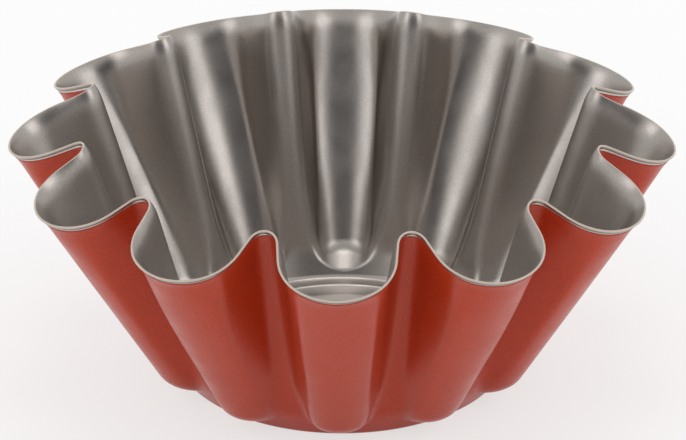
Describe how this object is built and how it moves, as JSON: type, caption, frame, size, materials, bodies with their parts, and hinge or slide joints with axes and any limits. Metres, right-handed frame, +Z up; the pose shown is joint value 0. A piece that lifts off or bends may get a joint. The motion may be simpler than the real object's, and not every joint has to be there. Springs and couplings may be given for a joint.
{
  "type": "fluted pudding mould",
  "caption": "Deep round baking mould of drawn sheet steel with flaring rounded flutes, a scalloped rim, a grey non-stick lining and a red outer coat.",
  "frame": {"origin": "on the mould's axis, in the plane of the standing ring that it rests on", "axes": "+Z up along the axis, out of the mouth; one flute points along each of +X, -X, +Y and -Y"},
  "size_m": [0.2202, 0.2202, 0.0893],
  "materials": {
    "bare_steel": "bare cut edge of drawn sheet steel",
    "grey_nonstick": "satin warm grey non-stick coat with a fine metallic speckle",
    "red_lacquer": "satin red-orange heat-proof lacquer with a fine metallic speckle"
  },
  "bodies": {
    "root": {"steel_shell": "bare_steel", "nonstick_lining": "grey_nonstick", "red_outer_coat": "red_lacquer"}
  },
  "joints": []
}
